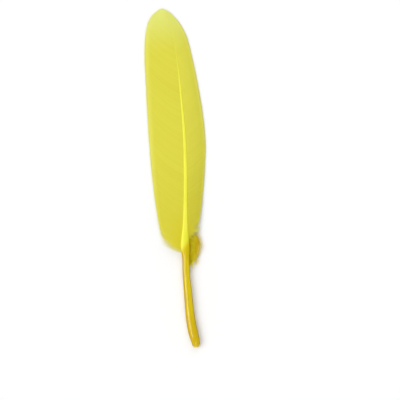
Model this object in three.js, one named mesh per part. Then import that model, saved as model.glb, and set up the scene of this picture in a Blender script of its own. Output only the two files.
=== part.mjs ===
// A goose quill feather that lies on a flat surface with its outer face up.
//
// Millimetres. +Y runs from the end of the quill to the tip, +Z is up and z = 0 is the surface.
// The feather rests on the end of its quill, on the outer edges of both vanes and on its tip.
// Between them the shaft arches a little over the surface, and each vane falls away from it.

import * as THREE from 'three';
import { ParametricGeometry } from 'three/addons/geometries/ParametricGeometry.js';

// ---- driving dimensions ----

const FEATHER_LENGTH = 140;
const HALF_LENGTH = FEATHER_LENGTH / 2;
const VANE_THICKNESS = 0.7;
const DOWN_THICKNESS = 1.8;
const SEAM = 0.3; // clear width between a vane and the side of the shaft
const CAMBER = 1.4; // 1 is a flat slope from shaft to edge, more keeps the vane high near the shaft

const SHAFT_SIDES = 12;
const SHAFT_STEPS = 50;
const VANE_STEPS = 24; // rows from the foot of a vane to its tip
const VANE_SPANS = 4; // spans across a vane, from the shaft to its outer edge
const DOWN_STEPS = 8;
const END_SHARE = 0.02; // of the shaft's rows, at each end, that draw it together to a point

// The shaft from the quill's end to the tip: y, then the centre's x and z, the width and the height.
const SHAFT_STATIONS = [
  [-HALF_LENGTH, 8.5, 1.4, 2.5, 2.4],
  [-68.7, 8.5, 1.55, 3.2, 3.0],
  [-67, 8.2, 1.7, 3.8, 3.4],
  [-65, 7.65, 1.75, 4.05, 3.5],
  [-62, 6.98, 1.8, 4.0, 3.5],
  [-58.8, 6.4, 1.8, 3.85, 3.4],
  [-54.7, 5.9, 1.85, 3.65, 3.25],
  [-50.6, 5.5, 1.9, 3.5, 3.2],
  [-46.5, 5.15, 2.0, 3.3, 3.1],
  [-39.5, 4.5, 2.15, 3.05, 2.95],
  [-33, 4.4, 2.3, 3.15, 2.8],
  [-28.5, 4.15, 2.35, 3.95, 2.5],
  [-24.5, 4.05, 2.4, 3.1, 2.3],
  [-20, 4.1, 2.5, 2.2, 2.1],
  [-11.5, 4.2, 2.6, 1.65, 1.85],
  [5, 4.2, 2.7, 1.35, 1.5],
  [16, 3.85, 2.65, 1.15, 1.3],
  [32, 2.6, 2.35, 0.85, 1.0],
  [48, 0.85, 1.75, 0.6, 0.8],
  [60, -1.2, 1.15, 0.5, 0.6],
  [67, -2.9, 0.75, 0.4, 0.4],
];

// Each outer edge from the foot of its vane to the tip: x, y, z of the middle of the edge.
const BROAD_EDGE = [
  [-4.2, -28.4, 1.6],
  [-5.9, -24, 1.45],
  [-7.0, -17.6, 1.15],
  [-9.4, -1, 0.6],
  [-11.1, 18, 0.38],
  [-12.1, 40, 0.35],
  [-12.6, 53, 0.35],
  [-11.9, 61, 0.35],
  [-10.9, 65, 0.35],
  [-8.7, 68.2, 0.35],
  [-5.8, HALF_LENGTH, 0.35],
];
const NARROW_EDGE = [
  [8.7, -23.8, 1.45],
  [9.9, -20.6, 1.3],
  [10.7, -13.5, 1.0],
  [11.6, -5.2, 0.6],
  [12.6, 9, 0.38],
  [11.9, 19.5, 0.35],
  [9.8, 36, 0.35],
  [7.4, 48.4, 0.35],
  [3.8, 60.7, 0.35],
  [1.8, 64, 0.35],
  [-1.1, 67.3, 0.35],
  [-2.9, 69, 0.35],
  [-4.9, HALF_LENGTH - 0.2, 0.35],
];
const DOWN_EDGE = [
  [7.9, -36, 0.95],
  [10.4, -31.5, 1.05],
  [11.2, -27.5, 1.1],
  [10.6, -25.4, 1.2],
];

// Where each soft piece grows along the shaft, from its foot to its top.
const BROAD_ROOT = [-30.8, 66.8];
const NARROW_ROOT = [-25, 66.8];
const DOWN_ROOT = [-33.5, -26.6];

const LEFT = -1;
const RIGHT = 1;

// ---- the shaft ----

const shaftAlong = new THREE.CubicInterpolant(
  SHAFT_STATIONS.map(([y]) => y),
  SHAFT_STATIONS.flatMap(([, ...values]) => values),
  4,
);

function shaftAt(y) {
  const [x, z, width, height] = shaftAlong.evaluate(y);
  return { x, z, width, height };
}

const SHAFT_TOP = SHAFT_STATIONS.at(-1)[0];

// One closed skin: rings of the shaft's oval section, drawn together to a point at both ends.
function shaftGeometry() {
  const section = (u, v, target) => {
    const along = THREE.MathUtils.clamp((v - END_SHARE) / (1 - 2 * END_SHARE), 0, 1);
    const y = THREE.MathUtils.lerp(-HALF_LENGTH, SHAFT_TOP, along);
    const { x, z, width, height } = shaftAt(y);
    const closed = v === 0 || v === 1 ? 0 : 1;
    const angle = -2 * Math.PI * u;
    target.set(x + (closed * width * Math.cos(angle)) / 2, y, z + (closed * height * Math.sin(angle)) / 2);
  };
  return new ParametricGeometry(section, SHAFT_SIDES, SHAFT_STEPS);
}

// ---- the vanes and the down ----

// A thin sheet from the side of the shaft to an outer edge. Going round its section, the top runs
// out to the edge and the underside runs back. The first and last rows close to a line.
function sheetGeometry({ side, root, edge, thickness, steps }) {
  const points = edge.map((point) => new THREE.Vector3(...point));
  const outerEdge = new THREE.CatmullRomCurve3(points, false, 'centripetal');
  const around = 2 * (VANE_SPANS + 1);
  const outer = new THREE.Vector3();
  const sheet = (u, v, target) => {
    const y = THREE.MathUtils.lerp(...root, v);
    const { x, z, width } = shaftAt(y);
    const inner = target.set(x + side * (width / 2 + SEAM), y, z);
    outerEdge.getPointAt(v, outer);
    const place = Math.round(u * around) % around;
    const onTop = place <= VANE_SPANS;
    const across = (onTop ? place : around - 1 - place) / VANE_SPANS;
    const fall = inner.z - outer.z;
    const innerZ = inner.z;
    inner.lerp(outer, across);
    target.z = innerZ - fall * across ** CAMBER;
    const half = v === 0 || v === 1 ? 0 : thickness / 2;
    target.z += onTop ? half : -half;
  };
  const geometry = new ParametricGeometry(sheet, around, steps);
  return side === RIGHT ? geometry : flipped(geometry);
}

// A sheet on the left of the shaft is drawn the other way round, so its triangles are turned.
function flipped(geometry) {
  const index = geometry.index;
  for (let i = 0; i < index.count; i += 3) {
    const first = index.getX(i);
    index.setX(i, index.getX(i + 1));
    index.setX(i + 1, first);
  }
  return geometry;
}

// ---- materials ----

function dyed(name, color, roughness) {
  return new THREE.MeshStandardMaterial({ name, color, roughness, metalness: 0 });
}

const horn = dyed('dyed_horn', 0xd8b92a, 0.35);
const barbs = dyed('dyed_barbs', 0xddd64a, 0.75);
const down = dyed('dyed_down', 0xb9a63a, 0.9);

// ---- the feather ----

function piece(name, geometry, material) {
  const mesh = new THREE.Mesh(geometry, material);
  mesh.name = name;
  return mesh;
}

const vane = { thickness: VANE_THICKNESS, steps: VANE_STEPS };
const broadVane = { ...vane, side: LEFT, root: BROAD_ROOT, edge: BROAD_EDGE };
const narrowVane = { ...vane, side: RIGHT, root: NARROW_ROOT, edge: NARROW_EDGE };
const downTuft = {
  side: RIGHT,
  root: DOWN_ROOT,
  edge: DOWN_EDGE,
  thickness: DOWN_THICKNESS,
  steps: DOWN_STEPS,
};

const feather = new THREE.Group();
feather.add(piece('quill_shaft', shaftGeometry(), horn));
feather.add(piece('broad_vane', sheetGeometry(broadVane), barbs));
feather.add(piece('narrow_vane', sheetGeometry(narrowVane), barbs));
feather.add(piece('down_tuft', sheetGeometry(downTuft), down));

// The origin is the middle of the feather's footprint, on the surface.
const box = new THREE.Box3().setFromObject(feather, true);
const middle = box.getCenter(new THREE.Vector3());
feather.position.set(-middle.x, -middle.y, -box.min.z);

export default feather;
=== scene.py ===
# %% [markdown]
# # A goose quill feather, barb by barb
#
# A feather is a shaft of horn with a row of barbs on each side. A barb is a thin ridge with a web
# of finer barbules, and the webs hook together into one smooth sheet, the vane. At the foot of
# the vane the barbs have no hooks and fluff out as down. This feather is dyed yellow, and it lies
# flat with its outer face up.
#
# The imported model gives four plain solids: the shaft, two vanes and a tuft of down. They say
# where everything is and how big it is. This script makes what the eye needs in the same place:
# 650 separate barbs, down with a fringe on every thread, and a shaft that turns from a clear
# quill into an opaque rachis.
#
# Lengths are written in millimetres, and turned into metres when a mesh is made. Y runs from the
# end of the quill to the tip, and Z is up.

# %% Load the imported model
import math

import bpy
import numpy as np
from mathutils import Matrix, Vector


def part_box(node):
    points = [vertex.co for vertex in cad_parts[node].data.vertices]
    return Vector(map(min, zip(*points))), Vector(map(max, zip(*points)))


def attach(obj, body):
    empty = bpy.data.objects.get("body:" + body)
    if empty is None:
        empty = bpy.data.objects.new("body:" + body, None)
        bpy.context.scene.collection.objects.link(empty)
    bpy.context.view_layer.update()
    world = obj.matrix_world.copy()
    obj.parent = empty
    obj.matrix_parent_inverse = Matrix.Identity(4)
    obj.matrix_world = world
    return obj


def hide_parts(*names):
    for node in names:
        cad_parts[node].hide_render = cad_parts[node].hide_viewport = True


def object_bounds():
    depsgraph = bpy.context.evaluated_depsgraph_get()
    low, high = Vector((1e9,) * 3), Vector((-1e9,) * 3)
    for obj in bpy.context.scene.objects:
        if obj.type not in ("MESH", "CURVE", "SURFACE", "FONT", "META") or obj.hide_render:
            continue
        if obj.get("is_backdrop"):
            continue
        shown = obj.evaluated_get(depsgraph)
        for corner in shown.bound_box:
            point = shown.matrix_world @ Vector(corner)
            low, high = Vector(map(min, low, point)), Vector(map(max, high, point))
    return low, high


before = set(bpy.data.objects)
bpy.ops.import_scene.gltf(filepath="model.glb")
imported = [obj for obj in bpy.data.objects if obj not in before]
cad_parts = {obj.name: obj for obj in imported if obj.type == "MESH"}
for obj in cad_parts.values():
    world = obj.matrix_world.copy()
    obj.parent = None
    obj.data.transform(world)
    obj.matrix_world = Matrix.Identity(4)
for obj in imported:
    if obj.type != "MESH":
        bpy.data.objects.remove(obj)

MM = 0.001
SEED = 1403
CAD_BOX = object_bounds()
rng = np.random.default_rng(SEED)
low, high = (np.array(corner) / MM for corner in CAD_BOX)
print("solids:", sorted(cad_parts))
print("size in mm:", (high - low).round(2))

# %% [markdown]
# ## Camera
#
# The feather lies flat, so the camera looks straight down on it. A long lens keeps both ends at
# one scale. The feather is to be left of the middle of the view, so the camera hangs over a
# point to the right of it and a little below its middle. Moving the camera does this without a
# lens shift, and other views of the scene stay free.

# %% Camera
VIEW_WIDTH = 165.0  # mm
LENS = 100.0  # mm
SENSOR = 36.0  # mm
AIM = (10.2, -9.2)  # the point under the camera, in mm from the middle of the feather
EYE_LEVEL = 2.0  # the height, in mm, at which the view has its width
NEAREST, FARTHEST = 0.01, 20.0  # m

camera_data = bpy.data.cameras.new("camera")
camera_data.lens = LENS
camera_data.sensor_width = SENSOR
camera_data.clip_start = NEAREST
camera_data.clip_end = FARTHEST
camera = bpy.data.objects.new("camera", camera_data)
camera_height = VIEW_WIDTH * LENS / SENSOR + EYE_LEVEL
camera.location = (AIM[0] * MM, AIM[1] * MM, camera_height * MM)
bpy.context.scene.collection.objects.link(camera)
bpy.context.scene.camera = camera
print("camera height in mm:", round(camera_height, 1))

# %% [markdown]
# ## Shader maths as plain sums
#
# A material is a net of nodes, and it is easiest to read as an expression. This small class wraps
# the output of a node, and each operator on it adds the Math node that does the sum. The forms
# that start with r, such as `__rsub__`, let a plain number stand first, as in 1 - mask.

# %% Values in a shader


class Value:
    """The output of a node, most often a number that varies over a surface."""

    def __init__(self, finish, socket):
        self.finish = finish
        self.socket = socket

    def math(self, operation, first, second):
        sockets = {0: first, 1: second}
        return self.finish.node("ShaderNodeMath", {"operation": operation}, sockets)[0]

    def __add__(self, other):
        return self.math("ADD", self, other)

    def __radd__(self, other):
        return self.math("ADD", other, self)

    def __sub__(self, other):
        return self.math("SUBTRACT", self, other)

    def __rsub__(self, other):
        return self.math("SUBTRACT", other, self)

    def __mul__(self, other):
        return self.math("MULTIPLY", self, other)

    def __rmul__(self, other):
        return self.math("MULTIPLY", other, self)

    def smooth(self, start, end):
        """0 below start and 1 above end, with an even passage between them."""
        settings = {"interpolation_type": "SMOOTHSTEP"}
        sockets = {"Value": self, "From Min": start, "From Max": end}
        return self.finish.node("ShaderNodeMapRange", settings, sockets)[0]


# %% [markdown]
# ## Finishes
#
# A finish is the net of nodes of one material, or of the sky. Every node comes from one method,
# which takes its type, its settings and what goes into its sockets. Colours are mixed by a node
# of their own, because a Math node would turn them grey. A colour that is laid over another one
# is a wash, either a dye or a painted light: it has a colour, a stretch over which it fades in,
# and a strength.

# %% Finishes
MIX_SHARE, MIX_FIRST, MIX_SECOND, MIX_COLOUR = 0, 6, 7, 2  # a Mix node's sockets for colours
OBJECT_COORDINATES = 3
SOFTEST_DETAIL = 2.0


class Finish:
    """The nodes of a material or a world, built by expressions."""

    def __init__(self, owner):
        owner.use_nodes = True
        self.owner = owner
        self.tree = owner.node_tree
        self.tree.nodes.clear()

    def node(self, kind, settings, sockets):
        """Adds a node: its settings, then the values or links of its sockets. Gives its outputs."""
        made = self.tree.nodes.new(kind)
        for key, setting in settings.items():
            setattr(made, key, setting)
        for key, value in sockets.items():
            if isinstance(value, Value):
                self.tree.links.new(value.socket, made.inputs[key])
            else:
                made.inputs[key].default_value = value
        return [Value(self, output) for output in made.outputs]

    def blend(self, first, second, share):
        """A colour between two colours."""
        sockets = {MIX_SHARE: share, MIX_FIRST: first, MIX_SECOND: second}
        return self.node("ShaderNodeMix", {"data_type": "RGBA"}, sockets)[MIX_COLOUR]

    def wash(self, colour, layer, place):
        """A colour with a layer of dye or painted light over it, fading in where place is past its
        start.
        """
        over, (start, end), strength = layer
        return self.blend(colour, over, place.smooth(start, end) * strength)

    def place(self):
        """x, y and z of the shaded point, in mm."""
        point = self.node("ShaderNodeTexCoord", {}, {})[OBJECT_COORDINATES]
        return [axis * (1 / MM) for axis in self.node("ShaderNodeSeparateXYZ", {}, {0: point})]

    def fibre(self):
        """The two numbers that the mesh carries: the share of its length, and one of its own."""
        uv = self.node("ShaderNodeUVMap", {"uv_map": "fibre"}, {})[0]
        along, own, _ = self.node("ShaderNodeSeparateXYZ", {}, {0: uv})
        return along, own

    def noise(self, place, scale):
        """A soft random pattern in space, about 0.5 on the whole."""
        point = self.node("ShaderNodeCombineXYZ", {}, dict(enumerate(place)))[0]
        sockets = {"Vector": point, "Scale": scale, "Detail": SOFTEST_DETAIL}
        return self.node("ShaderNodeTexNoise", {"noise_dimensions": "3D"}, sockets)[0]

    def bump(self, height, strength, depth):
        """The normal of a surface that such a pattern makes uneven; depth is in mm."""
        sockets = {"Height": height, "Strength": strength, "Distance": depth * MM}
        return self.node("ShaderNodeBump", {}, sockets)[0]

    def surface(self, sockets):
        """Closes the material with a shader that has these sockets, and gives the material."""
        shader = self.node("ShaderNodeBsdfPrincipled", {}, sockets)[0]
        self.node("ShaderNodeOutputMaterial", {}, {"Surface": shader})
        return self.owner


def dye(red, green, blue):
    """A colour as a screen shows it, 0 to 255, as the linear colour that a shader takes."""
    shown = np.array([red, green, blue]) / 255
    linear = np.where(shown <= 0.04045, shown / 12.92, ((shown + 0.055) / 1.055) ** 2.4)
    return (*linear, 1.0)


print("middle grey is", round(float(dye(128, 128, 128)[0]), 3), "to a shader")

# %% [markdown]
# ## Lamps
#
# Goods of this kind are shown under big soft lamps. The main lamp stands on the left, about 37
# degrees off the vertical, which puts the bright line on a round quill a third of the way in from
# its left edge. Two more lamps stand past the two ends of the feather. They lift the shadows, and
# a shaft that runs towards them does not mirror them as lines along its back.

# %% Lamps
LAMP_DISTANCE = 1.2  # m, which only places the symbols: light from so far away is even
KEY = {"direction": (-0.60, 0.04, 0.80), "strength": 1.63, "width": 46}
FILL = {"strength": 0.775, "width": 48}
FILL_DIRECTIONS = {"quill_lamp": (0.12, -0.75, 0.65), "tip_lamp": (0.10, 0.75, 0.65)}


def lamp(name, direction, strength, width):
    """A round soft lamp. Its width is the angle that it fills, in degrees, as seen from below."""
    data = bpy.data.lights.new(name, "SUN")
    data.energy = strength
    data.angle = math.radians(width)
    ob = bpy.data.objects.new(name, data)
    ob.location = LAMP_DISTANCE * np.array(direction)
    ob.rotation_euler = ob.location.to_track_quat("Z", "Y").to_euler()
    bpy.context.scene.collection.objects.link(ob)
    print(name, "stands at", [round(c, 2) for c in ob.location], "m")


lamp("key_lamp", **KEY)
for name, direction in FILL_DIRECTIONS.items():
    lamp(name, direction, **FILL)

# %% [markdown]
# ## Sky and floor
#
# The sky is a pale grey that brightens towards the horizon. Seen from above it only lifts the
# shadows a little, and in a view from the side the floor runs into it without a hard edge. The
# floor is a plain sheet of white paper, large enough to reach the horizon. The plain view
# transform keeps a dyed colour as it is.

# %% Sky and floor
OVERHEAD = 0.30
HORIZON = 0.96
HORIZON_BAND = (0.03, 0.35)  # of the sky's height: 0 is the horizon and 1 is overhead
FLOOR_SIZE = 40.0  # m
FLOOR_WHITE = (0.95, 0.95, 0.95, 1)
FLOOR_ROUGHNESS = 0.9

sky = Finish(bpy.data.worlds.new("sky"))
direction = sky.node("ShaderNodeTexCoord", {}, {})[0]
rise = sky.node("ShaderNodeSeparateXYZ", {}, {0: direction})[2]
glow = HORIZON + rise.smooth(*HORIZON_BAND) * (OVERHEAD - HORIZON)
light = sky.node("ShaderNodeBackground", {}, {"Color": (1, 1, 1, 1), "Strength": glow})[0]
sky.node("ShaderNodeOutputWorld", {}, {"Surface": light})
bpy.context.scene.world = sky.owner
bpy.context.scene.view_settings.view_transform = "Standard"

half = FLOOR_SIZE / 2
floor_mesh = bpy.data.meshes.new("floor")
floor_corners = [(-half, -half, 0), (half, -half, 0), (half, half, 0), (-half, half, 0)]
floor_mesh.from_pydata(floor_corners, [], [(0, 1, 2, 3)])
floor = bpy.data.objects.new("floor", floor_mesh)
bpy.context.scene.collection.objects.link(floor)
paper = Finish(bpy.data.materials.new("paper_floor"))
floor_mesh.materials.append(
    paper.surface({"Base Color": FLOOR_WHITE, "Roughness": FLOOR_ROUGHNESS})
)
floor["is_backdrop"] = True
print("floor:", FLOOR_SIZE, "m square")

# %% [markdown]
# ## Smooth curves through a few stations
#
# The shaft and the outlines of the vanes are given at a few stations. Between them a cubic curve
# runs through the given values, with the slope that the neighbouring stations suggest. An outline
# is asked for by the share of its length, so it is first measured along many fine steps.

# %% Curves through stations


def curve_through(stations):
    """A function of place that passes through rows of (place, values...)."""
    stations = np.array(stations, float)
    at, values = stations[:, 0], stations[:, 1:]
    slopes = np.gradient(values, at, axis=0)

    def value(place):
        place = np.clip(place, at[0], at[-1])
        i = np.clip(np.searchsorted(at, place, side="right") - 1, 0, len(at) - 2)
        step = at[i + 1] - at[i]
        t = ((place - at[i]) / step)[..., None]
        rise = step[..., None]
        start = values[i] * (1 + 2 * t) * (1 - t) ** 2 + slopes[i] * rise * t * (1 - t) ** 2
        end = values[i + 1] * t**2 * (3 - 2 * t) + slopes[i + 1] * rise * t**2 * (t - 1)
        return start + end

    return value


def lengths_along(points):
    return np.r_[0, np.cumsum(np.linalg.norm(np.diff(points, axis=0), axis=1))]


def outline_through(points, fine=400):
    """A function of the share of its length, 0 to 1, along a smooth line through 3-D points."""
    points = np.array(points, float)
    chords = lengths_along(points)
    line = curve_through(np.c_[chords, points])(np.linspace(0, chords[-1], fine))
    lengths = lengths_along(line)
    shares = lengths / lengths[-1]
    print("outline length in mm:", lengths[-1].round(1))
    return lambda share: np.stack([np.interp(share, shares, axis) for axis in line.T], -1)


def smoothstep(x, start, end):
    """0 below start and 1 above end, with an even passage between them."""
    t = np.clip((x - start) / (end - start), 0, 1)
    return t * t * (3 - 2 * t)


# %% [markdown]
# ## The shaft's stations
#
# Each row holds the place along the feather, the centre's x and z, the width and the height. The
# quill is nearly round and swells a little towards its end. Where the vanes begin, the shaft
# spreads into two small shoulders, and above them it tapers evenly to a hair at the tip.

# %% Shaft stations
QUILL_END = low[1]
SHAFT_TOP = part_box("quill_shaft")[1][1] / MM
SHAFT_STATIONS = [
    (QUILL_END, 8.5, 1.4, 2.5, 2.4),
    (-68.7, 8.5, 1.55, 3.2, 3.0),
    (-67, 8.2, 1.7, 3.8, 3.4),
    (-65, 7.65, 1.75, 4.05, 3.5),
    (-62, 6.98, 1.8, 4.0, 3.5),
    (-58.8, 6.4, 1.8, 3.85, 3.4),
    (-54.7, 5.9, 1.85, 3.65, 3.25),
    (-50.6, 5.5, 1.9, 3.5, 3.2),
    (-46.5, 5.15, 2.0, 3.3, 3.1),
    (-39.5, 4.5, 2.15, 3.05, 2.95),
    (-33, 4.4, 2.3, 3.15, 2.8),
    (-28.5, 4.15, 2.35, 3.95, 2.5),
    (-24.5, 4.05, 2.4, 3.1, 2.3),
    (-20, 4.1, 2.5, 2.2, 2.1),
    (-11.5, 4.2, 2.6, 1.65, 1.85),
    (5, 4.2, 2.7, 1.35, 1.5),
    (16, 3.85, 2.65, 1.15, 1.3),
    (32, 2.6, 2.35, 0.85, 1.0),
    (48, 0.85, 1.75, 0.6, 0.8),
    (60, -1.2, 1.15, 0.46, 0.5),
    (SHAFT_TOP, -2.9, 0.6, 0.15, 0.15),
]
shaft_at = curve_through(SHAFT_STATIONS)
print("shaft runs from", QUILL_END.round(1), "to", round(SHAFT_TOP, 1), "mm")

# %% [markdown]
# ## Making meshes from rings
#
# A quill, a barb and a thread of down are all the same kind of shape: a closed section that is
# carried along a line. One function turns an array of such rings into a mesh, for one tube or for
# thousands at once, and closes both ends of each tube.
#
# The mesh carries two numbers for each point as UV, which the finishes read. The first is the
# share of the tube's length. The second is the depth of its dye on a barb, with painted light
# added towards the tip and on the loose barbs at the foot, a random number on a thread of down,
# and the place from the left flank to the right on the shaft.

# %% Mesh from rings


def tubes(name, rings, along, own, smooth=False):
    """Joins rings, an array of (tube, ring, corner, xyz) in mm, into one mesh of closed tubes."""
    count, length, corners, _ = rings.shape
    mesh = bpy.data.meshes.new(name)
    here = np.arange(count * length * corners).reshape(count, length, corners)
    beside = np.roll(here, -1, axis=2)
    sides = np.stack([here[:, :-1], beside[:, :-1], beside[:, 1:], here[:, 1:]], -1)
    sides = sides.reshape(-1, 4)
    caps = [*here[:, 0, ::-1].tolist(), *here[:, -1].tolist()]
    mesh.from_pydata(rings.reshape(-1, 3) * MM, [], sides.tolist() + caps)
    uv = mesh.uv_layers.new(name="fibre")
    vertex = np.empty(len(mesh.loops), int)
    mesh.loops.foreach_get("vertex_index", vertex)
    numbers = [np.broadcast_to(values, rings.shape[:3]).ravel() for values in (along, own)]
    pairs = np.stack(numbers, -1)[vertex]
    uv.uv.foreach_set("vector", pairs.astype(np.float32).ravel())
    mesh.polygons.foreach_set("use_smooth", [smooth] * len(mesh.polygons))
    mesh.validate()
    mesh.update()
    ob = bpy.data.objects.new(name, mesh)
    bpy.context.scene.collection.objects.link(ob)
    print(name, "tubes:", count, "triangles:", 2 * len(sides) + 2 * count * (corners - 2))
    return ob


# %% [markdown]
# ## The shaft
#
# The real shaft is one piece of horn. Its section starts as a circle at the quill. Above the
# shoulders the flanks, where the barbs grow, go nearly straight, the back stays rounded, and a
# groove runs along the underside. A loft of rings does all this with one formula: a circle that
# turns into a rounded square, with a groove that fades in. The cut end of the quill is rounded
# off and has a shallow pit.

# %% Shaft
RINGS = 260
CORNERS = 40
VANE_FOOT = -30.8
END_ROUNDING = 0.8  # mm of the quill's end that is rounded
END_STEPS = 9
END_WIDTH = 0.6  # of the quill's width, left at its very end
PIT_WIDTH = 0.55  # of what is left there
PIT_DEPTH = 0.5
SQUARING = (VANE_FOOT - 4, VANE_FOOT + 10)  # the stretch over which the section turns square
SQUARENESS = 2.2
GROOVE_WIDTH = 0.42  # of half the shaft's width
GROOVE_DEPTH = 0.32  # of the shaft's height


def shaft_section(y, angle):
    """The rounded square at each place: how far out and how far up, from -1 to 1."""
    square = smoothstep(y, *SQUARING)[:, None]
    power = 2 / (2 + SQUARENESS * square)
    out = np.sign(np.cos(angle)) * np.abs(np.cos(angle)) ** power
    up = np.sign(np.sin(angle)) * np.abs(np.sin(angle)) ** power
    groove = np.exp(-((out / GROOVE_WIDTH) ** 2)) * (up < 0)
    return out, up + 2 * GROOVE_DEPTH * square * groove


def shaft_rings():
    """All rings from the pit in the quill's end to the tip, and each corner's place across."""
    turn = np.linspace(0, math.pi / 2, END_STEPS)
    ends = QUILL_END + END_ROUNDING * (1 - np.cos(turn))
    inside = np.linspace(QUILL_END, SHAFT_TOP, RINGS)
    y = np.concatenate([ends, inside[inside > QUILL_END + END_ROUNDING]])
    x, z, width, tall = shaft_at(y).T
    rounding = np.clip((y - QUILL_END) / END_ROUNDING, 0, 1)
    narrowing = END_WIDTH + (1 - END_WIDTH) * np.sqrt(1 - (1 - rounding) ** 2)
    angle = np.linspace(0, 2 * math.pi, CORNERS, endpoint=False)
    out, up = shaft_section(y, angle)
    ring_x = x[:, None] + out * (narrowing * width)[:, None] / 2
    ring_z = z[:, None] + up * (narrowing * tall)[:, None] / 2
    ring = np.stack([ring_x, np.broadcast_to(y[:, None], out.shape), ring_z], -1)
    middle = ring[0].mean(axis=0)
    pit = middle + (ring[:1] - middle) * PIT_WIDTH
    pit[..., 1] += PIT_DEPTH
    return np.concatenate([pit, ring])[None], 0.5 + 0.5 * np.cos(angle)


rings, flank_to_flank = shaft_rings()
shaft_share = np.linspace(0, 1, rings.shape[1])[:, None]
shaft = tubes("shaft_horn", rings, shaft_share, flank_to_flank, smooth=True)

# %% [markdown]
# ## The vanes' outlines
#
# A vane ends in a clean line because every barb is just long enough to reach it. So the outline
# comes first, from the foot of the vane to the tip, and the barbs are fitted between it and the
# shaft.

# %% Vane outlines
PAST_TIP = 0.15  # mm that the barbs reach past the solids
TIP = (-5.8, high[1] + PAST_TIP, 0.35)
APEX = (-3.5, 69.2, 0.38)  # where the last barbs of both vanes end
BROAD_OUTLINE = [
    (-4.6, -28.8, 1.6),
    (-5.8, -26.4, 1.55),
    (-6.4, -22.5, 1.4),
    (-7.3, -17.6, 1.15),
    (-9.7, -1, 0.6),
    (-11.3, 18, 0.4),
    (-12.5, 40, 0.35),
    (-12.95, 53, 0.35),
    (-12.3, 61, 0.35),
    (-11.2, 65, 0.35),
    (-9.1, 68.1, 0.35),
    (-7.6, 69.2, 0.35),
    TIP,
    (-4.5, 69.75, 0.35),
    APEX,
]
NARROW_OUTLINE = [
    (8.5, -25.2, 1.45),
    (9.6, -23.2, 1.4),
    (10.15, -18.0, 1.2),
    (10.75, -13.5, 1.0),
    (11.6, -5.2, 0.6),
    (12.5, 8, 0.4),
    (12.6, 13.5, 0.38),
    (12.1, 21, 0.35),
    (9.9, 36, 0.35),
    (7.4, 48.4, 0.35),
    (3.8, 60.7, 0.35),
    (1.9, 64, 0.35),
    (-1.0, 67.3, 0.35),
    (-2.3, 68.5, 0.37),
    APEX,
]
broad_outline = outline_through(BROAD_OUTLINE)
narrow_outline = outline_through(NARROW_OUTLINE)

# %% [markdown]
# ## Barbs
#
# A barb leaves the shaft at a wide angle and bends towards the tip before it reaches the edge. A
# curve with one control point draws that. Barbs near the tip lie almost along the shaft, so equal
# steps along the shaft become unequal steps along the edge, which a power of the share sets.
#
# No real vane is perfect. Here and there two barbs come unhooked and leave a narrow slit at the
# edge, and the barbs at the foot are loose and stray.

# %% Barb lines
CAMBER = 1.15  # more than 1 keeps the vane high near the shaft
UNEVEN = 0.004  # of a barb's reach, by which its end misses the outline
STRAY = (0.35, 0.7, 0.25)  # mm that the end of a loose barb strays
LAST_ROOT = SHAFT_TOP - 0.3
# Over this stretch the roots move from the flanks of the shaft onto its back, and so hide it.
HIDING = (34, 60)
ROOT_OUT, ROOT_IN = 0.42, 0.20  # of the shaft's width from its middle, and how much less there
ROOT_UP, ROOT_RISE = 0.27, 0.20  # of the shaft's height, and how much more there
BEND = (0.56, 0.30, 0)  # the control point, as shares of the barb's reach
BARB_STEPS = np.array(
    [0, 0.04, 0.1, 0.18, 0.27, 0.36, 0.45, 0.54, 0.63, 0.72, 0.8, 0.87, 0.93, 0.97, 1.0]
)


def barb_roots(side, foot, v):
    """Where the barbs leave the shaft, in mm, for shares v of the way from foot to tip."""
    y = foot + (LAST_ROOT - foot) * v
    x, z, width, tall = shaft_at(y).T
    hiding = smoothstep(y, *HIDING)
    out = side * (ROOT_OUT - ROOT_IN * hiding) * width
    up = (ROOT_UP + ROOT_RISE * hiding) * tall
    return np.stack([x + out, y, z + up], -1)


def barb_lines(side, foot, outline, count, edge_power, slits, free):
    """The middle lines of a vane's barbs, (barb, step, xyz) in mm, from the foot to the tip."""
    v = np.linspace(0, 1, count)
    root = barb_roots(side, foot, v)
    share = v**edge_power
    for place, opening, reach in slits:
        away = share - place
        share = share + np.sign(away) * opening * np.exp(-np.abs(away) / reach)
    end = outline(np.clip(share, 0, 1))
    out = end - root
    end = end + out * rng.normal(0, UNEVEN, (count, 1))
    end = end + free[:, None] * rng.normal(0, 1, (count, 3)) * STRAY
    bend = root + out * BEND
    t = BARB_STEPS[None, :, None]
    line = (1 - t) ** 2 * root[:, None] + 2 * t * (1 - t) * bend[:, None] + t**2 * end[:, None]
    gone = np.linalg.norm((line - root[:, None])[..., :2], axis=2)
    across = gone / np.linalg.norm(out[:, :2], axis=1)[:, None]
    fall = (end - root)[:, None, 2]
    line[..., 2] = root[:, None, 2] + fall * across.clip(0, 1) ** CAMBER
    return line


# %% [markdown]
# ## From a line to a barb
#
# A barb's stem is a ridge, and its barbules make a thin web on both sides that hooks onto the
# next barb. So the section is a flat roof: two thin eaves that reach just past the middle of the
# gap, a ridge on top and a keel below. The eave towards the tip lies a hair above the one that it
# overlaps, as tiles do. Towards the end of the barb the web narrows.

# %% Barbs from lines
RIDGE = 0.05
RIDGE_OUT = 0.22  # of the web's width, which is where the flat top of the ridge ends
KEEL = 0.08
STEM_TAPER = 0.6  # of the ridge and keel, lost by the end of the barb
EAVE = 0.018
OVERLAP = 1.15  # of half the gap between two barbs
WEB = 0.26  # the widest that a barb's web spreads to each side
LOOSE_WEB = 0.10  # the same for a loose barb
WEB_TAPER = 0.65  # of the web, lost by the end of the barb
TAPER_START = 0.9  # of the barb's length
LOOSE_TAPER_START = 0.3
LOWEST = 0.02  # mm above the floor


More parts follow.
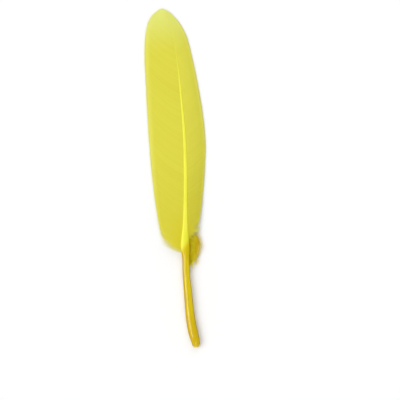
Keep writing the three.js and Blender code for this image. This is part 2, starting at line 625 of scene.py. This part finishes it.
def webs(line, overlap, taper, free):
    """From each point of each line to the two edges of its web, towards the foot and the tip."""
    before = np.concatenate([2 * line[:1] - line[1:2], line[:-1]])
    after = np.concatenate([line[1:], 2 * line[-1:] - line[-2:-1]])
    widest = (WEB + (LOOSE_WEB - WEB) * free)[:, None] * taper
    for neighbour in (before, after):
        web = (neighbour - line) * (0.5 * overlap * taper)[..., None]
        yield web * np.minimum(1, widest / np.linalg.norm(web, axis=2).clip(1e-6))[..., None]


def barb_rings(line, overlap, roll, lift, free):
    """Rings of five corners round each barb's line."""
    t = BARB_STEPS[None, :]
    start = TAPER_START - (TAPER_START - LOOSE_TAPER_START) * free[:, None]
    taper = 1 - WEB_TAPER * ((t - start) / (1 - start)).clip(0, 1) ** 2
    foot_side, tip_side = webs(line, overlap, taper, free)
    stem = 1 - STEM_TAPER * t
    eave = EAVE + roll[:, None]
    corners = []
    for web, share, height in (
        (foot_side, 1.0, -eave),
        (foot_side, RIDGE_OUT, RIDGE * stem),
        (tip_side, RIDGE_OUT, RIDGE * stem),
        (tip_side, 1.0, eave),
        (foot_side, 0.0, -KEEL * stem),
    ):
        corner = line + web * share
        corner[..., 2] += height + lift[:, None] * t
        corners.append(corner)
    rings = np.stack(corners, 2)
    rings[..., 2] = np.maximum(rings[..., 2], LOWEST)
    return rings


# %% [markdown]
# ## Two vanes
#
# The barbs of a vane hang together in locks of five to twenty. Each lock lies a little higher or
# lower than the next and took the dye a little deeper or less deep, and that is the faint
# slanting grain of a feather. Over the whole vane there is a slow wave. Towards the tip the barbs
# are paler, partly from their own paler dye and partly from painted light, and the loose barbs at
# the foot are painted paler as a painted highlight.

# %% Vanes
LEFT, RIGHT = -1, 1
LOCK_SIZES = (5, 20)  # barbs, from the first number up to just under the second
WAVES = ((0.04, 2.3, 0.15), (0.015, 7.7, 0.6))  # height in mm, waves along the vane, start
LOCK_LIFT, BARB_LIFT, LOOSE_LIFT = 0.013, 0.006, 0.25  # mm, at the end of a barb
ROLL = 0.003  # mm by which one eave of a barb is higher than the other
LOOSE_GAP = 0.35  # of the overlap, at most, that a loose barb lacks
# The loose barbs at the foot are painted paler: a painted highlight on their stray ends.
LOCK_SHADE, BARB_SHADE, LOOSE_PAINTED_HIGHLIGHT = 0.036, 0.06, 0.5  # paler by this, where 1 is palest
MIDDLE_SHADE = 0.5
MIDDLE_PLACE = 0.1  # of the vane, from its foot, where the dye has its middle shade

BROAD = {
    "side": LEFT,
    "foot": VANE_FOOT,
    "outline": broad_outline,
    "count": 330,
    "edge_power": 0.80,
    "slits": [(0.335, 0.0012, 0.01)],  # its place along the edge, half its width, its reach
    "loose": 0.02,  # the share of the vane over which the loose barbs at its foot turn neat
    # Paler towards the tip, partly its own paler dye and partly painted light on the upper vane.
    "pale_tip_and_painted_light": 0.25,  # how much paler its tip is than its foot
}
NARROW = {
    "side": RIGHT,
    "foot": -25.0,
    "outline": narrow_outline,
    "count": 320,
    "edge_power": 0.85,
    "slits": [(0.43, 0.0018, 0.01), (0.20, 0.0022, 0.01)],
    "loose": 0.035,
    "pale_tip_and_painted_light": 1.0,
}


def locks(count):
    """A random number for each barb that is the same for all barbs of one lock."""
    sizes = []
    while sum(sizes) < count:
        sizes.append(rng.integers(*LOCK_SIZES))
    return np.repeat(rng.normal(size=len(sizes)), sizes)[:count]


def vane(name, side, foot, outline, count, edge_power, slits, loose, pale_tip_and_painted_light):
    v = np.linspace(0, 1, count)
    free = np.exp(-v / loose)
    line = barb_lines(side, foot, outline, count, edge_power, slits, free)
    lock = locks(count)
    fine = rng.normal(size=count)
    sway = sum(size * np.sin(2 * math.pi * (many * v + start)) for size, many, start in WAVES)
    lift = LOCK_LIFT * lock + BARB_LIFT * fine + sway + LOOSE_LIFT * free * np.abs(lock)
    roll = ROLL * lock + ROLL * fine
    overlap = OVERLAP - LOOSE_GAP * free[:, None] * np.abs(fine)[:, None].clip(0, 1)
    rings = barb_rings(line, overlap, roll, lift, free)
    if side == LEFT:
        rings = rings[:, :, ::-1]
    shade = MIDDLE_SHADE + LOCK_SHADE * lock + BARB_SHADE * fine
    # A barb's shade carries painted light: the upper vane is painted paler in part, and the loose
    # barbs at the foot carry a painted highlight.
    shade = shade + pale_tip_and_painted_light * (v - MIDDLE_PLACE) + LOOSE_PAINTED_HIGHLIGHT * free
    return tubes(name, rings, BARB_STEPS[:, None], shade[:, None, None])


broad = vane("broad_vane_barbs", **BROAD)
narrow = vane("narrow_vane_barbs", **NARROW)

# %% [markdown]
# ## Down
#
# At the foot of the vane the barbs have no hooks, so they go their own way. Each one is a thin
# thread that curls. Its curl comes from turning its direction a little more at every step, while
# it sinks slowly towards the height at which it rests. The lowest threads hang down beside the
# quill and the topmost ones stand out from it.

# %% Down threads
DOWN_THREADS = 116
DOWN_STEPS = 20
THREAD = 0.055
THREAD_END = 0.35  # of a thread's thickness, left at its end
DOWN_FOOT, DOWN_STRETCH = -31.5, 8.0  # where the threads grow along the shaft
DOWN_OUT = 0.40  # of the shaft's width
DOWN_BELOW, DOWN_LAYER = 0.5, 0.7  # mm under the shaft's middle, and the thickness of the layer
LOWEST_HEADING, HEADING_RANGE, HEADING_SPREAD = -62, 74, 8  # degrees from straight out
THREAD_LENGTHS = (5.9, 8.3)
LOWEST_LENGTH, LENGTH_GAIN = 0.88, 0.10  # times that, from the lowest thread to the topmost
CURL, CURL_SPREAD, CURL_GAIN = -3.6, 1.6, 3.6  # degrees at each step
FIRST_CURL, CURL_GROWTH = 0.2, 1.8  # times that, from the root to the end of a thread
REST_HEIGHT, REST_RANGE = 0.4, 1.2
SINKING = 0.12  # of the way to its rest, at each step


def down_lines():
    """The curling middle lines of the down, as an array of (thread, step, xyz) in mm."""
    share = (np.arange(DOWN_THREADS) + rng.random(DOWN_THREADS)) / DOWN_THREADS
    root_y = DOWN_FOOT + DOWN_STRETCH * share
    x, z, width, _ = shaft_at(root_y).T
    root_z = z - DOWN_BELOW + DOWN_LAYER * rng.random(DOWN_THREADS)
    spread = rng.normal(0, HEADING_SPREAD, DOWN_THREADS)
    heading = np.radians(LOWEST_HEADING + HEADING_RANGE * share + spread)
    length = rng.uniform(*THREAD_LENGTHS, DOWN_THREADS) * (LOWEST_LENGTH + LENGTH_GAIN * share)
    step = length / (DOWN_STEPS - 1)
    curl = np.radians(rng.normal(CURL, CURL_SPREAD, DOWN_THREADS) - CURL_GAIN * share)
    rest_z = REST_HEIGHT + REST_RANGE * rng.random(DOWN_THREADS)
    lines = [np.stack([x + DOWN_OUT * width, root_y, root_z], -1)]
    for k in range(1, DOWN_STEPS):
        heading = heading + curl * (FIRST_CURL + CURL_GROWTH * k / DOWN_STEPS)
        sink = (rest_z - lines[-1][:, 2]) * SINKING
        move = np.stack([np.cos(heading) * step, np.sin(heading) * step, sink], -1)
        lines.append(lines[-1] + move)
    return np.stack(lines, 1)


lines = down_lines()
print("down reaches", lines[..., 0].max().round(2), lines[..., 1].min().round(2), "mm")

# %% [markdown]
# ## Fringe of the down
#
# Every thread of down carries a fringe of finer threads on both sides, and the fringe is what
# makes it look soft. Each short thread starts on a long one, stands across it, leans forward and
# bends a little. Their places come from arrays, and they all end up in one mesh.

# %% Fringe of the down
UP = np.array([0.0, 0.0, 1.0])
FRINGE_PLACES = 58
FRINGE_STRETCH = (0.04, 0.98)  # of a thread's length
FRINGE_LENGTH = 1.2
FRINGE_LENGTHS = (0.5, 1.1)  # times that
FRINGE_SHORTENING = 0.6  # of that, lost by the end of the thread
LEAN, LEAN_SPREAD = 0.75, 0.25
SAG_SPREAD = 0.35
FORWARD_BEND = 0.3  # of a short thread's length
FRINGE_STEPS = np.array([0, 0.5, 1.0])
FRINGE_HEIGHTS = (0.06, 4.2)  # mm above the floor


def directions(moves):
    """The same moves, each with length 1."""
    return moves / np.linalg.norm(moves, axis=-1, keepdims=True).clip(1e-6)


def fringe_lines(lines):
    """Short threads on both sides of each long one, as an array of (thread, step, xyz)."""
    places = np.linspace(*FRINGE_STRETCH, FRINGE_PLACES)
    base = places * (DOWN_STEPS - 1)
    i = base.astype(int).clip(0, DOWN_STEPS - 2)
    part = (base - i)[None, :, None]
    root = lines[:, i] * (1 - part) + lines[:, i + 1] * part
    along = directions(lines[:, i + 1] - lines[:, i])
    across = directions(np.cross(along, UP))
    longest = FRINGE_LENGTH * (1 - FRINGE_SHORTENING * places[None, :, None])
    t = FRINGE_STEPS[None, None, :, None]
    made = []
    for side in (-1, 1):
        lean = rng.normal(LEAN, LEAN_SPREAD, root.shape[:2])[..., None]
        sag = rng.normal(0.0, SAG_SPREAD, root.shape[:2])[..., None] * UP
        toward = directions(side * across + lean * along + sag)
        reach = longest * rng.uniform(*FRINGE_LENGTHS, root.shape[:2])[..., None]
        curve = root[:, :, None] + toward[:, :, None] * (reach[:, :, None] * t)
        curve = curve + along[:, :, None] * (FORWARD_BEND * reach[:, :, None] * t**2)
        made.append(curve.reshape(-1, len(FRINGE_STEPS), 3))
    made = np.concatenate(made)
    made[..., 2] = np.clip(made[..., 2], *FRINGE_HEIGHTS)
    return made


fringe = fringe_lines(lines)
print("short threads:", len(fringe))

# %% [markdown]
# ## Meshes of the down
#
# The threads are so thin that a tube of four corners looks round, and three corners do for the
# fringe. Each thread gets a random number, from which its finish takes its shade.

# %% Meshes of the down
FRINGE = 0.034
FRINGE_TAPER = np.array([1.0, 0.8, 0.3])


def threads_to_rings(lines, corners, thickness):
    """Tubes about lines; thickness holds the tube's width in mm at each step."""
    along = directions(np.gradient(lines, axis=1))
    across = directions(np.cross(along, UP))
    upward = np.cross(across, along)
    angle = np.linspace(0, 2 * math.pi, corners, endpoint=False)[:, None]
    ring = np.cos(angle) * across[:, :, None] + np.sin(angle) * upward[:, :, None]
    return lines[:, :, None] + ring * thickness[:, None, None] / 2


thread_rings = threads_to_rings(lines, 4, THREAD * np.linspace(1, THREAD_END, DOWN_STEPS))
fringe_rings = threads_to_rings(fringe, 3, FRINGE * FRINGE_TAPER)
thread_shares = np.linspace(0, 1, DOWN_STEPS)[:, None]
thread_own = rng.random((DOWN_THREADS, 1, 1))
fringe_own = rng.random((len(fringe), 1, 1))
down_threads = tubes("down_threads", thread_rings, thread_shares, thread_own)
down_fringe = tubes("down_fringe", fringe_rings, FRINGE_STEPS[:, None], fringe_own)

# %% [markdown]
# ## Dyed barbs, with painted light
#
# The dye takes unevenly. Each lock is a shade lighter or deeper, which its own number gives. The
# thin ends of the barbs, along the edges of the vanes, are paler and greener: a painted highlight
# where they catch light and let it through. The tip of the feather is paler and greener. The foot
# of the vane is warmer, and close to the shaft there it is deeper and yellower. A fine nap makes
# the surface a little uneven, and a faint sheen stands for the barbules, which are too fine to
# model.

# %% Barb finish
VANE_DEEP = dye(203, 195, 43)
VANE_PALE = dye(225, 220, 74)
SHADES = (-0.05, 1.35)  # the barbs' own numbers that give the deepest and the palest dye
# A wash is a colour of dye or of painted light, the stretch over which it fades in, and its
# strength.
# The margin wash is a painted highlight on the thin barb ends along the edges of the vanes.
MARGIN_HIGHLIGHT_WASH = (dye(230, 225, 98), (0.78, 0.95), 0.75)  # along a barb
TIP_WASH = (dye(225, 230, 122), (51.0, 70.5), 0.85)  # mm above the middle of the feather
FOOT_WASH = (dye(210, 199, 42), (-10.0, 30.0), 0.6)  # mm below the middle
# Deeper and yellower close to the shaft at the foot of the vane.
ROOT_COLOUR = dye(212, 198, 24)
ROOT_STRENGTH = 0.75
ROOT_FADE = (11.0, 27.0)  # mm below the middle
ROOT_REACH = (0.1, 0.6)  # along a barb
NAP_SCALE = 6.0
NAP_SHADE = 0.3
BARB_ROUGHNESS, NAP_ROUGHNESS = 0.52, 0.16


def barb_finish():
    finish = Finish(bpy.data.materials.new("dyed_barbs"))
    along, own = finish.fibre()
    x, y, z = finish.place()
    below = 0 - y
    nap = finish.noise((x, y, z), NAP_SCALE)
    colour = finish.blend(VANE_DEEP, VANE_PALE, (own + nap * NAP_SHADE).smooth(*SHADES))
    # painted highlight along the edges of the vanes
    colour = finish.wash(colour, MARGIN_HIGHLIGHT_WASH, along)
    colour = finish.wash(colour, TIP_WASH, y)
    colour = finish.wash(colour, FOOT_WASH, below)
    near_root = (1 - along.smooth(*ROOT_REACH)) * below.smooth(*ROOT_FADE)
    colour = finish.blend(colour, ROOT_COLOUR, near_root * ROOT_STRENGTH)
    return finish.surface(
        {
            "Base Color": colour,
            "Roughness": BARB_ROUGHNESS + nap * NAP_ROUGHNESS,
            "Normal": finish.bump(nap, strength=0.3, depth=0.03),
            "Specular IOR Level": 0.25,
            "Sheen Weight": 0.04,
            "Sheen Roughness": 0.4,
        }
    )


barb_material = barb_finish()
print("barb finish has", len(barb_material.node_tree.nodes), "nodes")

# %% [markdown]
# ## Dyes and painted light of the horn
#
# The rachis is packed with pith, so it is opaque and takes the dye as a bright yellow. On its
# right side near the shoulders, which turn away from the light, it has a painted shade. The quill
# is a clear amber tube. Light that enters it on the left gathers on the right, and this glow is
# painted into its colour on the right side, with a painted shade on that side just below the
# shoulders. Both flanks carry a painted shade for the depth of horn that the eye looks through
# there, and the rim of the cut end carries a painted highlight.

# %% Horn dyes and painted light
PITH = dye(243, 240, 80)
PITH_SHADE = dye(233, 228, 64)
# Painted shade on the right side of the rachis near the shoulders.
PITH_TURNED_SHADE = dye(224, 223, 54)
HORN = dye(222, 200, 8)
HORN_DEEP = dye(201, 169, 2)
# Painted shade on both flanks of the quill.
HORN_FLANK_SHADE = dye(182, 147, 0)
# Painted shade on the quill's right side just below the shoulders; lower down a painted glow takes
# over.
HORN_SHOULDER_SHADE = dye(204, 182, 10)
PAINTED_GLOW_WASH = (dye(227, 205, 2), (31.0, 35.5), 1.0)  # mm below the middle of the feather
END_WASH = (dye(206, 169, 0), (50.0, 64.0), 0.6)
# Painted highlight on the rim of the quill's cut end.
RIM_HIGHLIGHT_WASH = (dye(222, 200, 70), (69.0, 69.6), 0.8)
VANE_WASH = (VANE_PALE, (26.0, 54.0), 0.95)  # mm above the middle
HORN_STREAKS, PITH_STREAKS = (0.3, 0.65), (0.2, 0.6)  # the values of the noise that bound them
# Across the shaft, places run from its left flank, 0, to its right flank, 1.
RIGHT_SIDE, RIGHT_STRENGTH = (0.45, 0.75), 0.8
FLANK_SHADE_STRENGTH = 0.9
TURNED_SIDE, TURNED_FOOT = (0.3, 0.7), (18.0, 25.0)  # across the shaft, and mm below the middle


def horn_colour(finish, across, below, streaks, flank):
    """The clear horn of the quill, with painted shade, a painted glow and a painted highlight."""
    colour = finish.blend(HORN_DEEP, HORN, streaks.smooth(*HORN_STREAKS))
    # painted glow on the right side, with painted shade just below the shoulders
    right_glow_and_shade = finish.wash(HORN_SHOULDER_SHADE, PAINTED_GLOW_WASH, below)
    colour = finish.wash(colour, (right_glow_and_shade, RIGHT_SIDE, RIGHT_STRENGTH), across)
    colour = finish.wash(colour, END_WASH, below)
    # painted shade on the flanks
    colour = finish.blend(colour, HORN_FLANK_SHADE, flank * FLANK_SHADE_STRENGTH)
    # painted highlight on the rim of the cut end
    return finish.wash(colour, RIM_HIGHLIGHT_WASH, below)


def pith_colour(finish, across, below, streaks):
    """The opaque horn of the shoulders and the rachis, with painted shade on its right side."""
    colour = finish.blend(PITH_SHADE, PITH, streaks.smooth(*PITH_STREAKS))
    # painted shade where the shoulders turn away from the light
    turned_away = across.smooth(*TURNED_SIDE) * below.smooth(*TURNED_FOOT)
    return finish.blend(colour, PITH_TURNED_SHADE, turned_away)


print("amber horn is", [round(float(part), 3) for part in HORN[:3]], "to a shader")

# %% [markdown]
# ## The horn's finish
#
# The pith ends on a slant, lower on the left than on the right. Light enters horn and comes out
# beside the point where it went in, which is subsurface scattering. A thin clear coat gives the
# sharp line of light on the quill's back. It fades towards the flanks, where it would mirror the
# floor, and over the pith, which is duller. Fine ridges run along the shaft.

# %% Horn finish
PITH_END = -28.1
PITH_SLANT = 1.4  # mm along the shaft for each mm across it
PITH_MIDDLE = 4.2  # the shaft's x there
PITH_BEFORE, PITH_AFTER = 2.2, 2.4
LEFT_FLANK, RIGHT_FLANK = (0.0, 0.26), (0.86, 1.0)
FLANK_GLOSS = (0.0, 0.8)  # of the flank's strength, over which the coat is lost
DULL_SIDE, DULL_SHARE = (0.4, 0.7), 0.5  # across the shaft, and how much of the coat it lacks
DULL_PITH = 0.7
DULL_SHAFT, DULL_FADE = 0.5, (29.0, 37.0)  # the coat above this stretch, mm below the middle
STREAK_STRETCH = (0.9, 0.03, 0.9)  # of x, y and z, which draws a noise out along the shaft
STREAK_SCALE, RIDGE_SCALE = 5.0, 16.0
HORN_ROUGHNESS, STREAK_ROUGHNESS = 0.36, 0.14


def horn_finish():
    finish = Finish(bpy.data.materials.new("dyed_horn"))
    _, across = finish.fibre()
    x, y, z = finish.place()
    below = 0 - y
    drawn_out = [axis * share for axis, share in zip((x, y, z), STREAK_STRETCH)]
    streaks = finish.noise(drawn_out, STREAK_SCALE)
    ridges = finish.noise(drawn_out, RIDGE_SCALE)
    flank = 1 - across.smooth(*LEFT_FLANK) + across.smooth(*RIGHT_FLANK)
    horn = horn_colour(finish, across, below, streaks, flank)
    pith = pith_colour(finish, across, below, streaks)
    slanted = y - (x - PITH_MIDDLE) * PITH_SLANT
    filled = slanted.smooth(PITH_END - PITH_BEFORE, PITH_END + PITH_AFTER)
    colour = finish.blend(horn, pith, filled)
    colour = finish.wash(colour, VANE_WASH, y)
    colour = finish.wash(colour, TIP_WASH, y)
    gloss = (1 - flank.smooth(*FLANK_GLOSS)) * (1 - across.smooth(*DULL_SIDE) * DULL_SHARE)
    shine = DULL_SHAFT + (1 - DULL_SHAFT) * below.smooth(*DULL_FADE)
    return finish.surface(
        {
            "Base Color": colour,
            "Roughness": HORN_ROUGHNESS + streaks * STREAK_ROUGHNESS,
            "Normal": finish.bump(ridges, strength=0.25, depth=0.02),
            "Coat Weight": (1 - filled * DULL_PITH) * gloss * shine,
            "Coat Roughness": 0.12,
            "Coat IOR": 1.5,
            "Specular IOR Level": 0.04,
            "Subsurface Weight": 0.12,
            "Subsurface Radius": (0.0010, 0.0008, 0.0002),
            "Subsurface Scale": 1.0,
        }
    )


horn_material = horn_finish()
print("horn finish has", len(horn_material.node_tree.nodes), "nodes")

# %% [markdown]
# ## The down's finish
#
# Down has the same dye on threads so thin that they look darker in the shade between them. Its
# outer rim, where it is thin, is a little browner: a painted shade that stands for shade seen
# through the thin down.

# %% Down finish
DOWN_PALE = dye(247, 238, 48)
DOWN_DEEP = dye(230, 210, 14)
# Painted shade at the thin outer rim of the down.
DOWN_RIM_SHADE_WASH = (dye(232, 203, 24), (7.2, 9.6), 0.7)  # mm to the right of the middle
DOWN_ROUGHNESS, DOWN_ROUGHNESS_RANGE = 0.62, 0.16


def down_finish():
    finish = Finish(bpy.data.materials.new("dyed_down"))
    _, own = finish.fibre()
    x = finish.place()[0]
    colour = finish.blend(DOWN_DEEP, DOWN_PALE, own.smooth(0.0, 1.0))
    return finish.surface(
        {
            # painted shade at the down's outer rim
            "Base Color": finish.wash(colour, DOWN_RIM_SHADE_WASH, x),
            "Roughness": DOWN_ROUGHNESS + own * DOWN_ROUGHNESS_RANGE,
            "Specular IOR Level": 0.2,
        }
    )


down_material = down_finish()
print("down finish has", len(down_material.node_tree.nodes), "nodes")

# %% [markdown]
# ## Joining it up
#
# Every piece takes its finish and is hung on the feather's body, so that it moves with the
# feather, and the solid that it stands for is printed. The solids stay in the scene, hidden.

# %% Pieces to solids
for piece, node, slot, material in (
    (shaft, "quill_shaft", "dyed_horn", horn_material),
    (broad, "broad_vane", "dyed_barbs", barb_material),
    (narrow, "narrow_vane", "dyed_barbs", barb_material),
    (down_threads, "down_tuft", "dyed_down", down_material),
    (down_fringe, "down_tuft", "dyed_down", down_material),
):
    piece.data.materials.append(material)
    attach(piece, "root")
    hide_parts(node)
    print(piece.name, "stands for", node)

# %% [markdown]
# ## The size of the pieces
#
# The solids set the feather's size. The two boxes, of the solids and of the pieces, are printed
# side by side, so that they can be compared.

# %% Print the size
bpy.context.view_layer.update()
VISUAL_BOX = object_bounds()
for name, box in (("solids", CAD_BOX), ("pieces", VISUAL_BOX)):
    print(name, "box in mm:", [[round(c / MM, 2) for c in corner] for corner in box])
